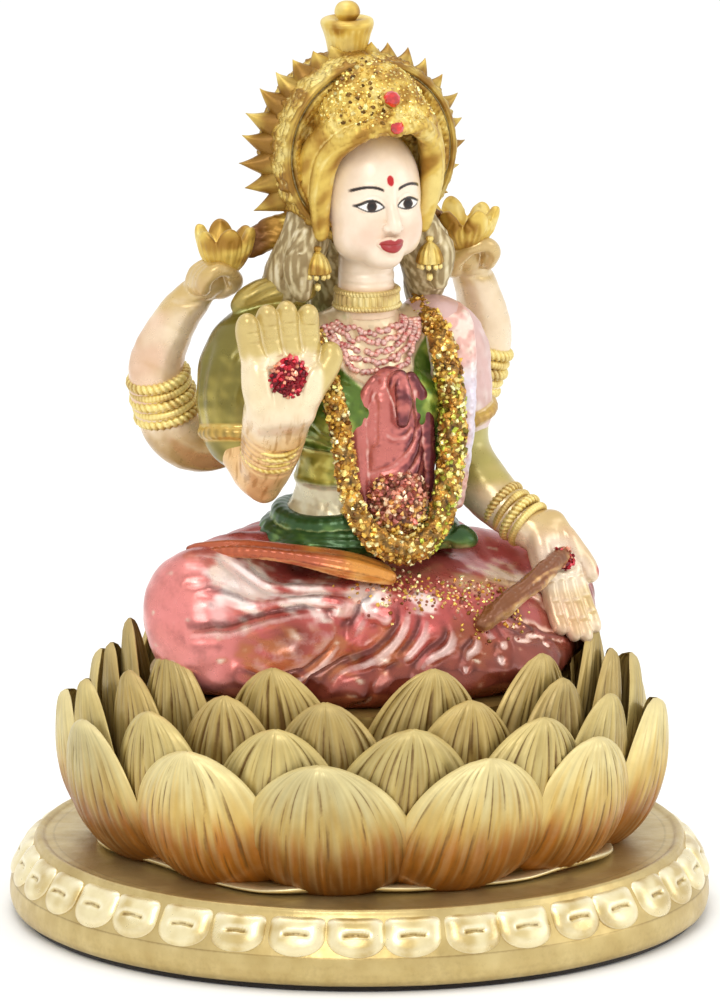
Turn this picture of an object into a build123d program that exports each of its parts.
from build123d import *
from math import radians, tan
import os

# Seated four-armed goddess statuette on an open lotus and a round plinth. It is cast, plated and
# painted in separate pieces that are pinned and bonded together, with one screw from below through
# plinth, lotus and figure. Millimetres. The origin is the centre of the felt underside, +Z is up and
# the figure faces -Y, so its own right hand is on -X.

os.makedirs("parts", exist_ok=True)

# Driving dimensions: plinth and lotus
OVERALL_HEIGHT = 148.0
BASE_RADIUS = 56.5
FELT_THICKNESS = 0.8
BAND_TOP = 5.6  # top of the plain band round the plinth's foot
PLINTH_TOP = 12.2
TOP_RADIUS = 51.5  # plinth's flat top
TILE_COUNT = 36
FOOT_LEAF_THICKNESS = 1.2
LOTUS_FLOOR = PLINTH_TOP + FOOT_LEAF_THICKNESS
SEAT_HEIGHT = 39.5  # the lotus seat that the figure rests on
PETAL_THICKNESS = 1.6
# Petal rings from outermost in: petal count, root radius, tip radius, tip height, first angle
PETAL_RINGS = {
    "petal_ring_outer": (12, 37.0, 47.5, 35.8, 0),
    "petal_ring_second": (12, 33.6, 44.0, 40.0, 15),
    "petal_ring_third": (12, 30.2, 40.5, 43.8, 0),
    "petal_ring_inner": (10, 26.8, 37.0, 48.2, 9),
}

# Driving dimensions: figure
LAP_HEIGHT = 60.0
SHOULDER_HEIGHT = 98.0
HEAD_CENTRE = Vector(0, -4, 117.5)
HEAD_RADIUS = 8.6
NECK_RADIUS = 4.4
CROWN_TOP = 140.0
HALO_CENTRE = Vector(0, 0, 125)
HALO_RADIUS = 15.5
HALO_FRONT = -5.0
HALO_BACK = 5.0
FINIAL_AXIS_Y = 5.0

# Driving dimensions: fixings
SCREW_RADIUS = 2.0
SCREW_CLEARANCE = 0.2
SCREW_TOP = 48.0
INSERT_HEIGHT = 7.0
INSERT_RADIUS = 3.2
PIN_RADIUS = 0.8
WAIST_DOWEL_RADIUS = 2.5
NECK_DOWEL_RADIUS = 1.3

# Joints of the arms from the shoulder outwards, and the arm's radius at each
REAR_ARM = [(12, 9, 83), (18.9, 15, 75.5), (25.3, 16.5, 78), (28.6, 15, 90), (24, 11, 100.5)]
REAR_ARM_RADII = [4.2, 4.6, 4.6, 4.2, 3.2]
LOWERED_ARM = [(18.8, 2.0, 79.0), (18.8, 2.0, 73), (21.6, -3.6, 67.0), (25.8, -9.8, 62.2)]
LOWERED_ARM_RADII = [4.4, 4.6, 4.3, 3.3]
RAISED_ARM = [(-21.5, -2.5, 79.5), (-21.5, -6.0, 74.2), (-21.3, -11.8, 81.0), (-20.8, -14.7, 86.6)]
RAISED_ARM_RADII = [4.6, 3.6, 3.9, 3.9]
RAISED_ARM_SPREAD = [0, 0, 0.9, 1.7]
RAISED_HAND = Location((-20.6, -15.8, 92.4), (-6, 0, 0))
LOWERED_HAND = Location((28.6, -13.0, 57.6), (-22, -14, 8))

# Names of the figure's two sides and the sign of X on each
SIDES = {"right": -1, "left": 1}


# Helpers


def ball(centre, radius):
    return Pos(*centre) * Sphere(radius)


def rod(start, end, radius):
    """A round bar between two points."""
    start, end = Vector(*start), Vector(*end)
    axis = end - start
    return Part() + Solid.make_cylinder(radius, axis.length, Plane(origin=start, z_dir=axis))


def frustum(start, end, start_radius, end_radius):
    """A tapered bar between two points."""
    if start_radius == end_radius:
        return rod(start, end, start_radius)
    start, end = Vector(*start), Vector(*end)
    axis = end - start
    plane = Plane(origin=start, z_dir=axis)
    return Part() + Solid.make_cone(start_radius, end_radius, axis.length, plane)


def limb(points, radii):
    """Tapered bars joined by balls: an arm, a lock of hair or a roll of cloth."""
    proud = 1.012  # each ball stands a little proud of its bars, so that no faces coincide
    pieces = [ball(p, r * proud) for p, r in zip(points, radii)]
    for i in range(len(points) - 1):
        pieces.append(frustum(points[i], points[i + 1], radii[i], radii[i + 1]))
    return pieces[0].fuse(*pieces[1:])


def turned(profile, centre=(0, 0)):
    """A solid turned about a vertical axis through centre, from profile edges in the XZ plane."""
    return Pos(centre[0], centre[1], 0) * revolve(make_face(profile), Axis.Z)


def around(shape, count, first_angle=0):
    """count copies of shape about the Z axis, as separate solids."""
    return [Rot(0, 0, first_angle + 360 * i / count) * shape for i in range(count)]


def on_side(left_shape, side):
    """A shape made for the left side (+X), mirrored where it is wanted on the right."""
    return left_shape if side > 0 else mirror(left_shape, Plane.YZ)


def pieces_of(shape):
    return shape if isinstance(shape, list) else [shape]


def cut(shape, *tools):
    """shape less every tool, so that neighbours meet face to face."""
    for tool in tools:
        for piece in pieces_of(tool):
            shape = shape - piece
    return shape


# Plinth and its fixings

FOOT_RADIUS = BASE_RADIUS - 0.9
SHOULDER_RADIUS = BASE_RADIUS - 0.3  # where the band meets the bevel
BEVEL_TOP = PLINTH_TOP - 0.6
RIM_HEIGHT = 0.35
RIM_WIDTH = 1.0
RECESS_RADIUS = 46.0
RECESS_TOP = 8.6
BOSS_RADIUS = 8.0
BOSS_BOTTOM = 5.0


def felt_pad():
    return Pos(0, 0, FELT_THICKNESS / 2) * Cylinder(BASE_RADIUS - 2.0, FELT_THICKNESS)


def plinth():
    """Hollow-cast disc: a bulged band, a bevel, a fine raised rim and a screw boss underneath."""
    band = ThreePointArc(
        (FOOT_RADIUS, 0, FELT_THICKNESS),
        (BASE_RADIUS, 0, (FELT_THICKNESS + BAND_TOP) / 2),
        (SHOULDER_RADIUS, 0, BAND_TOP),
    )
    rest = Polyline(
        (SHOULDER_RADIUS, 0, BAND_TOP),
        (TOP_RADIUS + RIM_WIDTH, 0, BEVEL_TOP),
        (TOP_RADIUS + 0.2, 0, PLINTH_TOP + RIM_HEIGHT),
        (TOP_RADIUS - RIM_WIDTH, 0, PLINTH_TOP),
        (0, 0, PLINTH_TOP),
        (0, 0, BOSS_BOTTOM),
        (BOSS_RADIUS, 0, BOSS_BOTTOM),
        (BOSS_RADIUS, 0, RECESS_TOP),
        (RECESS_RADIUS, 0, RECESS_TOP),
        (RECESS_RADIUS + 1.5, 0, FELT_THICKNESS),
        (FOOT_RADIUS, 0, FELT_THICKNESS),
    )
    return turned(band.edges() + rest.edges())


def leaf_tiles():
    """Raised round-ended leaf tiles lying on the plinth's bevel, each with a sunk slot."""
    width, thickness, slot_depth = 8.6, 0.9, 0.3
    low = Vector(SHOULDER_RADIUS, 0, BAND_TOP)
    slope = Vector(TOP_RADIUS + RIM_WIDTH, 0, BEVEL_TOP) - low
    out = Vector(slope.Z, 0, -slope.X).normalized()
    face = Plane(origin=low, x_dir=(0, 1, 0), z_dir=out)
    middle = Pos(0, slope.length / 2)
    outline = middle * RectangleRounded(width, slope.length - 0.4, 2.5)
    slot = extrude(face.offset(thickness - slot_depth) * middle * SlotOverall(4.6, 1.0), 1)
    return around(extrude(face * outline, thickness) - slot, TILE_COUNT, 5)


def centre_screw(washer_bottom):
    """Pan-head screw from under the plinth up into the figure's insert, with a cross slot."""
    head_height, head_radius = 2.4, 3.6
    head = Pos(0, 0, washer_bottom - head_height / 2) * Cylinder(head_radius, head_height)
    shank = rod((0, 0, washer_bottom), (0, 0, SCREW_TOP), SCREW_RADIUS)
    cross = Box(4.4, 0.9, 1.6) + Box(0.9, 4.4, 1.6)
    return head + shank - Pos(0, 0, washer_bottom - head_height) * cross


def screw_washer(thickness):
    ring = Cylinder(4.8, thickness) - Cylinder(SCREW_RADIUS + SCREW_CLEARANCE, 5)
    return Pos(0, 0, BOSS_BOTTOM - thickness / 2) * ring


def threaded_insert():
    """Grooved brass insert bonded in the underside of the seated figure."""
    body = Cylinder(INSERT_RADIUS, INSERT_HEIGHT) - Cylinder(SCREW_RADIUS, 20)
    groove = Torus(INSERT_RADIUS + 0.1, 0.4)
    return Pos(0, 0, SEAT_HEIGHT + INSERT_HEIGHT / 2) * (body - groove)


# Lotus


def lotus_foot_leaf():
    """Thin scalloped plate between plinth and petals."""
    disc = Cylinder(38.5, FOOT_LEAF_THICKNESS)
    lobes = around(Pos(33.5, 0, 0) * Cylinder(8.6, FOOT_LEAF_THICKNESS), 12)
    return Pos(0, 0, PLINTH_TOP + FOOT_LEAF_THICKNESS / 2) * disc.fuse(*lobes)


def lotus_core():
    """Hub that the petal rings are bonded round, with the seat on top."""
    foot, middle, seat = (24.4, 0, LOTUS_FLOOR), (31.6, 0, 25.0), (33.8, 0, SEAT_HEIGHT)
    side = ThreePointArc(foot, middle, seat)
    rest = Polyline(seat, (0, 0, SEAT_HEIGHT), (0, 0, LOTUS_FLOOR), foot)
    return turned(side.edges() + rest.edges())


def petal_wall(root, tip, tip_height):
    """The bulged wall that a ring's petals are cut from."""
    t = PETAL_THICKNESS
    middle_radius = root + (tip - root) * 0.80
    middle_height = LOTUS_FLOOR + (tip_height - LOTUS_FLOOR) * 0.36
    outer_root, outer_tip = (root, 0, LOTUS_FLOOR), (tip, 0, tip_height)
    inner_root, inner_tip = (root - t, 0, LOTUS_FLOOR), (tip - t * 0.7, 0, tip_height)
    outer = ThreePointArc(outer_root, (middle_radius, 0, middle_height), outer_tip)
    inner = ThreePointArc(inner_tip, (middle_radius - t, 0, middle_height + 0.4), inner_root)
    ends = Line(outer_tip, inner_tip).edges() + Line(inner_root, outer_root).edges()
    return turned(outer.edges() + inner.edges() + ends)


def petal_ring(count, root, tip, tip_height, first_angle):
    """One cast ring of pointed petals: a bulged wall notched between the petals."""
    half = tip * tan(radians(180 / count)) * 0.93
    bottom = LOTUS_FLOOR + (tip_height - LOTUS_FLOOR) * 0.42
    rise = tip_height - bottom
    above = tip_height + 2
    side = ThreePointArc((0, bottom), (half * 0.40, bottom + rise * 0.62), (half, tip_height))
    lid = Polyline((half, tip_height), (half, above), (-half, above), (-half, tip_height))
    outline = make_face(side.edges() + mirror(side, Plane.YZ).edges() + lid.edges())
    across = Plane(origin=(20, 0, 0), x_dir=(0, 1, 0), z_dir=(1, 0, 0))
    notch = extrude(across * outline, 35)
    return cut(petal_wall(root, tip, tip_height), around(notch, count, first_angle + 180 / count))


# Seated figure


def legs():
    """Crossed legs under the wrapped skirt: a rounded mass with two knees over the lotus seat."""
    knee, shin, hip = Circle(8.6), Circle(9.0), Circle(12.0)
    circles = [Pos(s * 30, -4) * knee for s in (-1, 1)]
    circles += [Pos(s * 12, -17.5) * shin for s in (-1, 1)]
    circles += [Pos(s * 9, 9) * hip for s in (-1, 1)]
    lap_bottom = 44.5
    plan = make_hull([circle.edge() for circle in circles])
    mass = extrude(Pos(0, 0, lap_bottom) * plan, LAP_HEIGHT - lap_bottom)
    rims = mass.edges().group_by(Axis.Z)
    mass = fillet(rims[0] + rims[-1], 7.2)
    return mass + rod((0, -2, SEAT_HEIGHT), (0, -2, LAP_HEIGHT - 6), 24.0)


def torso():
    """Trunk in a short blouse, from the lap to the base of the neck."""
    # height, depth of the section's centre, and its half widths in X and Y
    sections = [
        (LAP_HEIGHT, 1.0, 14.0, 10.5),
        (67.0, 0.5, 11.3, 8.2),
        (78.0, -1.0, 13.6, 10.2),
        (90.0, 0.0, 14.2, 8.6),
        (SHOULDER_HEIGHT, -1.0, 7.5, 5.8),
    ]
    return loft([Pos(0, y, z) * Ellipse(rx, ry) for z, y, rx, ry in sections])


def head():
    """Egg-shaped head on its neck."""
    c = HEAD_CENTRE
    chin, top = (0, 0, c.Z - 10.5), (0, 0, c.Z + 12.5)
    jaw, temple = (HEAD_RADIUS * 0.93, 0, c.Z - 3.0), (HEAD_RADIUS, 0, c.Z + 4)
    side = Spline([chin, jaw, temple, top], tangents=[(1, 0, 0), (-1, 0, 0)])
    skull = turned(side.edges() + Line(top, chin).edges(), (c.X, c.Y))
    return skull + rod((0, -2.2, SHOULDER_HEIGHT), (0, -2.8, c.Z - 4), NECK_RADIUS)


def hair():
    """Long hair: a cap round the back of the head, a lock over each shoulder, a fall down the back."""
    cap = ball((0, 0.2, 116.5), 9.9)
    lock = limb([(8.5, 0.5, 112), (12.5, 1.5, 105), (13, 4.5, 99)], [4.2, 4.0, 3.2])
    back = limb([(0, 5.5, 112), (0, 9.5, 97), (0, 11.5, 82)], [7.5, 6.2, 4.0])
    return cap.fuse(lock, on_side(lock, -1), back)


def crown():
    """Domed headdress over the forehead, with a flap down each cheek that frames the face."""
    c = HEAD_CENTRE
    bottom = c.Z + 9.3
    rim, top = (9.4, 0, bottom + 2.2), (0, 0, CROWN_TOP)
    bulge = [(9.9, 0, bottom + 6), (6.2, 0, CROWN_TOP - 1.6)]
    side = Spline([rim, *bulge, top], tangents=[(0.35, 0, 1), (-1, 0, 0)])
    rest = Polyline(top, (0, 0, bottom), (9.7, 0, bottom), (9.9, 0, bottom + 1.8), rim)
    dome = turned(side.edges() + rest.edges(), (c.X, c.Y))
    path = [(8.8, c.Y - 1.6, bottom + 1.8), (9.4, c.Y - 1.9, bottom - 6), (9.0, c.Y - 2.0, bottom - 12)]
    flap = limb(path, [1.6, 1.6, 1.1])
    return dome.fuse(flap, on_side(flap, -1))


def halo():
    """Drum-shaped aureole behind the crown with a row of leaf spikes round its back edge."""
    spike_count, spike_span = 21, 242.0
    side_length, top_length = 4.8, 1.2
    r, front, back = HALO_RADIUS, HALO_FRONT, HALO_BACK
    section = Polyline(
        (0, front + 4.0),
        (r - 3.2, front + 1.2),
        (r, front),
        (r + 0.3, back - 1.6),
        (r - 1.5, back),
        (0, back + 1.6),
        close=True,
    )
    drum = revolve(make_face(section.edges()), Axis.Y)
    spikes = []
    for i in range(spike_count):
        turn = spike_span * (i / (spike_count - 1) - 0.5)  # degrees away from straight up
        length = top_length + (side_length - top_length) * min(1, abs(turn) / 75)
        spike = frustum((r - 1, back - 1.8, 0), (r + length, back - 0.8, 0), 2.1, 0.18)
        spikes.append(Rot(0, -(90 + turn), 0) * spike)
    return Pos(*HALO_CENTRE) * drum.fuse(*spikes)


def finial():
    """Pot and ball on top of the halo."""
    ball_radius = 2.0
    foot, lip, shoulder = 138.5, 144.0, 145.2
    profile = Polyline(
        (0, 0, foot),
        (3.0, 0, foot),
        (3.4, 0, foot + 1.1),
        (2.9, 0, foot + 1.9),
        (4.3, 0, lip - 0.8),
        (4.3, 0, lip),
        (2.0, 0, lip + 0.5),
        (1.2, 0, shoulder),
        (0, 0, shoulder),
        close=True,
    )
    pot = turned(profile.edges(), (0, FINIAL_AXIS_Y))
    return pot + ball((0, FINIAL_AXIS_Y, OVERALL_HEIGHT - ball_radius), ball_radius)


def crown_gem(height):
    """Oval stone set in the middle of the crown's front."""
    return ball((0, HEAD_CENTRE.Y - 9.5, height), 1.35)


def earring():
    """Stud, bell and drop of the left ear."""
    x, y, top = 9.8, -5.4, 109.6
    stud = ball((x - 0.2, y + 0.2, top), 1.1)
    bell = frustum((x, y, top - 5.0), (x, y, top - 1.2), 2.3, 0.8)
    return stud.fuse(bell, ball((x, y, top - 5.4), 0.9))


def neck_choker():
    height = 3.4
    collar = Cylinder(NECK_RADIUS + 1.1, height) - Cylinder(NECK_RADIUS, 2 * height)
    return Pos(0, -2.4, SHOULDER_HEIGHT + 3.2) * collar


def necklace():
    """Strands of beads hanging in nested arcs on the upper chest."""
    strand_count, point_count, bead_radius, top = 4, 7, 0.75, 97.2
    strands = []
    for k in range(strand_count):
        half_width, drop = 6.6 + 0.7 * k, 2.6 + 1.5 * k
        points = []
        for i in range(point_count):
            across = -1 + 2 * i / (point_count - 1)
            sag = 1 - across**2
            points.append((half_width * across, -5.6 - 4.2 * sag - 0.25 * k, top - drop * sag))
        strands.append(limb(points, [bead_radius] * point_count))
    return strands[0].fuse(*strands[1:])


def pendant():
    return ball((0.6, -13.4, 71.5), 3.5)


def garland():
    """Thick flower garland from both shoulders down to the lap."""
    radius = 2.3
    path = [
        (-10.0, 1.5, 98.6),
        (-9.8, -6.5, 94.0),
        (-8.6, -11.8, 83.0),
        (-7.4, -14.6, 71.5),
        (-4.2, -16.6, 64.6),
        (0.4, -17.2, 62.7),
        (5.0, -16.6, 65.0),
        (8.8, -14.2, 72.5),
        (10.8, -11.4, 83.0),
        (11.0, -6.5, 93.6),
        (10.5, 1.5, 98.4),
    ]
    return limb(path, [radius] * len(path))


def waist_sash():
    """Rolled sash round the hips, lying on the lap."""
    height = 5.0
    roll = extrude(Pos(0, 0.5, LAP_HEIGHT) * Ellipse(17.0, 13.2), height)
    hips = extrude(Pos(0, 1.0, LAP_HEIGHT) * Ellipse(14.2, 10.7), height)
    return fillet(roll.edges(), 2.2) - hips


def chest_drape():
    """Folded cloth panel hanging down the middle of the chest."""
    face = Plane(origin=(0.8, -6.0, 78.6), x_dir=(1, 0, 0), z_dir=(0, -1, -0.18))
    panel = extrude(face * RectangleRounded(11.6, 22.0, 5.0), 7.2)
    return fillet(panel.faces().sort_by(Axis.Y)[0].edges(), 1.6)


def shoulder_drape():
    """End of the wrap carried over the left shoulder and down beside the garland."""
    path = [(12.5, 6.5, 94.5), (14.2, -2.5, 95.0), (13.6, -6.8, 87), (12.6, -8.8, 76), (12.0, -8.4, 67)]
    return limb(path, [3.0, 3.2, 3.2, 2.8, 2.2])


def skirt_sash():
    """Rolled sash end lying across the left shin."""
    path = [(9.0, -26.0, 51.0), (13.5, -24.6, 53.2), (20, -21.0, 55.6), (25.2, -18.0, 56.8)]
    return limb(path, [1.7, 2.0, 2.1, 1.8])


def skirt_hem():
    """Gold edge of the wrap along the top of the right thigh."""
    return limb([(-27, -4.0, 60.0), (-17, -12.5, 60.4), (-4.5, -18.4, 59.8)], [1.4, 1.8, 1.4])


# Arms


def hand(breadth, reach):
    """Open right hand in its own frame: palm facing -Y, fingers along +Z, thumb on the +X side.

    breadth and reach scale its width and the length of its fingers.
    """
    palm = Box(11.5 * breadth, 4.6, 10.5)
    digits = []
    knuckle = 3.6
    for x, length in ((-4.3, 8.2), (-1.45, 9.6), (1.4, 10.2), (4.25, 9.0)):
        side, tip = x * breadth, knuckle + length * reach
        points = [(side, 0.2, knuckle), (side, 0.5, (knuckle + tip) / 2), (side, 1.3, tip)]
        digits.append(limb(points, [1.55 * breadth, 1.5 * breadth, 1.15]))
    thumb = [(4.0 * breadth, -0.4, -2.2), (6.9 * breadth, -0.9, 1.4), (7.3 * breadth, -1.0, 4.8)]
    digits.append(limb(thumb, [1.9, 1.6, 1.2]))
    return fillet(palm.edges(), 2.0).fuse(*digits)


def front_arm_right():
    """Forearm raised in front of the shoulder, broadening to the open palm."""
    halves = []
    for side in (-1, 1):
        points = [(x + side * gap, y, z) for (x, y, z), gap in zip(RAISED_ARM, RAISED_ARM_SPREAD)]
        halves.append(limb(points, RAISED_ARM_RADII))
    return (RAISED_HAND * hand(1.08, 0.78)).fuse(*halves)


def front_arm_left():
    """Forearm lowered to the knee with the slender open palm forward and fingers down."""
    lowered = LOWERED_HAND * Rot(0, 180, 0) * on_side(hand(0.78, 0.95), -1)
    return limb(LOWERED_ARM, LOWERED_ARM_RADII) + lowered


def rear_arm():
    """Left arm of the rear pair, looped out behind the shoulder and up to a closed hand."""
    fist = ball((22.2, 8.4, 104.2), 3.3)
    fingers = []
    for i in range(3):
        knuckles = [(24.6, 9.6 - 1.7 * i, 103.0), (24.4, 7.6 - 1.4 * i, 105.6), (21.6, 5.6, 106.0)]
        fingers.append(limb(knuckles, [1.2, 1.15, 1.0]))
    return limb(REAR_ARM, REAR_ARM_RADII).fuse(fist, *fingers)


def sleeve_right():
    """Full puffed sleeve with a roll of cloth over the shoulder."""
    puff = limb([(-14.5, 1, 95.0), (-19.2, 1.0, 91.0), (-21.4, -1.0, 80.0)], [6.3, 7.5, 6.0])
    roll = limb([(-20, 1.4, 100.6), (-17.2, 1.2, 101.6), (-14.4, 1.0, 102.0)], [1.5, 2.0, 2.1])
    return puff + roll


def sleeve_left():
    return limb([(14.5, 1, 94.0), (16.4, 1.2, 88.5), (18.6, 1.8, 79.5)], [6.0, 6.0, 5.2])


def palm_medallion(hand_place, height, radius, thickness):
    """Round painted relief in the middle of an open palm, let a little into it."""
    palm_front, sunk = -2.3, 0.1
    disc = Rot(90, 0, 0) * Cylinder(radius, thickness + sunk)
    return hand_place * Pos(0, palm_front - (thickness - sunk) / 2, height) * disc


def bangles(start, end, inner_radius, count):
    """A stack of plain rings round a forearm."""
    start, end = Vector(*start), Vector(*end)
    axis = end - start
    step = axis.length / count
    thickness, gap = 1.0, 0.24 * step
    section = Circle(inner_radius + thickness) - Circle(inner_radius)
    rings = []
    for i in range(count):
        plane = Plane(origin=start + axis.normalized() * (step * i + gap / 2), z_dir=axis)
        rings.append(extrude(plane * section, step - gap))
    return rings


def lotus_bud():
    """Opening lotus bud held in the left rear hand, with six pointed lobes."""
    centre = (21.0, 5.8, 104.8)
    profile = Polyline(
        (0, 0, 0),
        (1.3, 0, 0),
        (1.6, 0, 2.0),
        (4.4, 0, 4.2),
        (5.4, 0, 7.6),
        (4.9, 0, 8.6),
        (2.6, 0, 7.0),
        (0, 0, 6.6),
        close=True,
    )
    notch = Pos(4.4, 0, 9.6) * Rot(0, 90, 0) * Cylinder(1.5, 5)
    return Pos(*centre) * cut(turned(profile.edges()), around(notch, 6, 30))


def bud_strut():
    """Short bridge that steadies the left bud against the hair."""
    return rod((17.5, 5.2, 109.6), (8, 3.0, 111.5), 1.9)


# Pins inside the figure


def waist_dowel():
    return rod((0, 0, LAP_HEIGHT - 8), (0, 0, LAP_HEIGHT + 8), WAIST_DOWEL_RADIUS)


def neck_dowel():
    return rod((0, -2.4, SHOULDER_HEIGHT - 7), (0, -2.6, SHOULDER_HEIGHT + 7), NECK_DOWEL_RADIUS)


def front_shoulder_pins():
    return [rod((s * 10.5, 0.6, 91.4), (s * 18.5, 1.0, 88.9), PIN_RADIUS) for s in (-1, 1)]


def rear_shoulder_pins():
    return [rod((s * 7.5, 4.5, 85.5), (s * 13.5, 10.2, 81.6), PIN_RADIUS) for s in (-1, 1)]


def halo_pin():
    return rod((0, 1.5, 122), (0, 5.6, 122), 1.0)


# Assembly


def base_pieces():
    """Felt, plinth, screw and lotus."""
    washer_thickness = 0.8
    pieces = {
        "felt_pad": felt_pad(),
        "plinth": plinth(),
        "leaf_tiles": leaf_tiles(),
        "screw_washer": screw_washer(washer_thickness),
        "centre_screw": centre_screw(BOSS_BOTTOM - washer_thickness),
        "threaded_insert": threaded_insert(),
        "lotus_foot_leaf": lotus_foot_leaf(),
        "lotus_core": lotus_core(),
    }
    for name, ring in PETAL_RINGS.items():
        pieces[name] = petal_ring(*ring)
    return pieces


def figure_pieces():
    """Body, dress, head and jewellery."""
    return {
        "waist_dowel": waist_dowel(),
        "neck_dowel": neck_dowel(),
        "front_shoulder_pins": front_shoulder_pins(),
        "rear_shoulder_pins": rear_shoulder_pins(),
        "halo_pin": halo_pin(),
        "legs": legs(),
        "torso": torso(),
        "head": head(),
        "crown": crown(),
        "hair": hair(),
        "halo": halo(),
        "finial": finial(),
        "crown_gem_upper": crown_gem(CROWN_TOP - 4.8),
        "crown_gem_lower": crown_gem(CROWN_TOP - 9.4),
        "neck_choker": neck_choker(),
        "waist_sash": waist_sash(),
        "chest_drape": chest_drape(),
        "shoulder_drape": shoulder_drape(),
        "necklace": necklace(),
        "garland": garland(),
        "pendant": pendant(),
        "skirt_sash": skirt_sash(),
        "skirt_hem": skirt_hem(),
    }


def arm_pieces():
    """The four arms, what they wear and what they hold."""
    pieces = {
        "sleeve_right": sleeve_right(),
        "sleeve_left": sleeve_left(),
        "front_arm_right": front_arm_right(),
        "front_arm_left": front_arm_left(),
        "palm_medallion_right": palm_medallion(RAISED_HAND, 0.2, 3.3, 0.7),
        "palm_medallion_left": palm_medallion(LOWERED_HAND, 0.6, 2.0, 0.6),
        "bangles_front_right": bangles((-21.3, -10.6, 79.5), (-21.2, -12.7, 82.4), 4.7, 3),
        "bangles_front_left": bangles((22.6, -5.2, 66.0), (25.2, -9.0, 63.0), 4.0, 3),
    }
    left_only = {
        "rear_arm": rear_arm(),
        "lotus_bud": lotus_bud(),
        "bud_strut": bud_strut(),
        "earring": earring(),
    }
    left_bangles = bangles((25.9, 16.3, 80.6), (27.8, 15.4, 87.2), 4.7, 4)
    for word, side in SIDES.items():
        for name, shape in left_only.items():
            pieces[f"{name}_{word}"] = on_side(shape, side)
        pieces[f"bangles_rear_{word}"] = [on_side(ring, side) for ring in left_bangles]
    return pieces


def sockets():
    """Room left in castings for the screw and its insert."""
    return {
        "screw_hole": rod((0, 0, 0), (0, 0, SCREW_TOP + 1), SCREW_RADIUS + SCREW_CLEARANCE),
        "insert_hole": rod((0, 0, SEAT_HEIGHT), (0, 0, SEAT_HEIGHT + INSERT_HEIGHT), INSERT_RADIUS),
    }


SLEEVES = ["sleeve_right", "sleeve_left"]

# What each piece gives way to, so that neighbours meet face to face
GIVES_WAY_TO = {
    "plinth": ["screw_hole"],
    "lotus_foot_leaf": ["screw_hole"],
    "lotus_core": ["screw_hole"],
    "petal_ring_inner": ["legs"],
    "petal_ring_third": ["legs"],
    "legs": ["screw_hole", "insert_hole", "waist_dowel"],
    "torso": ["waist_dowel", "neck_dowel", "front_shoulder_pins", "rear_shoulder_pins"],
    "head": ["torso", "neck_dowel", "halo_pin"],
    "crown": ["head"],
    "hair": ["head", "crown", "torso", "halo_pin"],
    "halo": ["head", "crown", "hair", "halo_pin"],
    "finial": ["halo", "crown"],
    "crown_gem_upper": ["crown"],
    "crown_gem_lower": ["crown"],
    "earring_right": ["head", "hair"],
    "earring_left": ["head", "hair"],
    "neck_choker": ["head", "hair"],
    "sleeve_right": ["torso", "hair", "front_shoulder_pins"],
    "sleeve_left": ["torso", "hair", "front_shoulder_pins", "shoulder_drape"],
    "chest_drape": ["torso", "waist_sash"],
    "shoulder_drape": ["torso", "chest_drape", "waist_sash", "hair"],
    "necklace": ["torso", "chest_drape", "shoulder_drape", "hair", "head"],
    "garland": ["torso", "chest_drape", "waist_sash", "hair", "shoulder_drape", "necklace", *SLEEVES],
    "pendant": ["chest_drape", "garland"],
    "skirt_sash": ["legs"],
    "skirt_hem": ["legs", "waist_sash", "garland"],
    "front_arm_right": ["sleeve_right"],
    "front_arm_left": [
        "sleeve_left",
        "legs",
        "skirt_sash",
        "shoulder_drape",
        "waist_sash",
        "petal_ring_inner",
    ],
    "rear_arm_right": ["torso", "hair", "lotus_bud_right", "rear_shoulder_pins", "sleeve_right"],
    "rear_arm_left": ["torso", "hair", "lotus_bud_left", "rear_shoulder_pins", "sleeve_left"],
    "bud_strut_right": ["lotus_bud_right", "hair", "halo", "rear_arm_right"],
    "bud_strut_left": ["lotus_bud_left", "hair", "halo", "rear_arm_left"],
    "palm_medallion_right": ["front_arm_right"],
    "palm_medallion_left": ["front_arm_left"],
    "bangles_front_right": ["sleeve_right", "front_arm_right"],
    "bangles_front_left": ["legs", "front_arm_left"],
    "bangles_rear_right": ["rear_arm_right"],
    "bangles_rear_left": ["rear_arm_left"],
}


def main():
    pieces = base_pieces() | figure_pieces() | arm_pieces()
    known = pieces | sockets()
    for name, shape in pieces.items():
        tools = [known[other] for other in GIVES_WAY_TO.get(name, [])]
        seated = [cut(piece, *tools) for piece in pieces_of(shape)]
        solids = [solid for piece in seated for solid in piece.solids()]
        if not solids:
            raise SystemExit(f"{name} has no solid")
        export_step(Compound(solids), f"parts/{name}.step")


main()
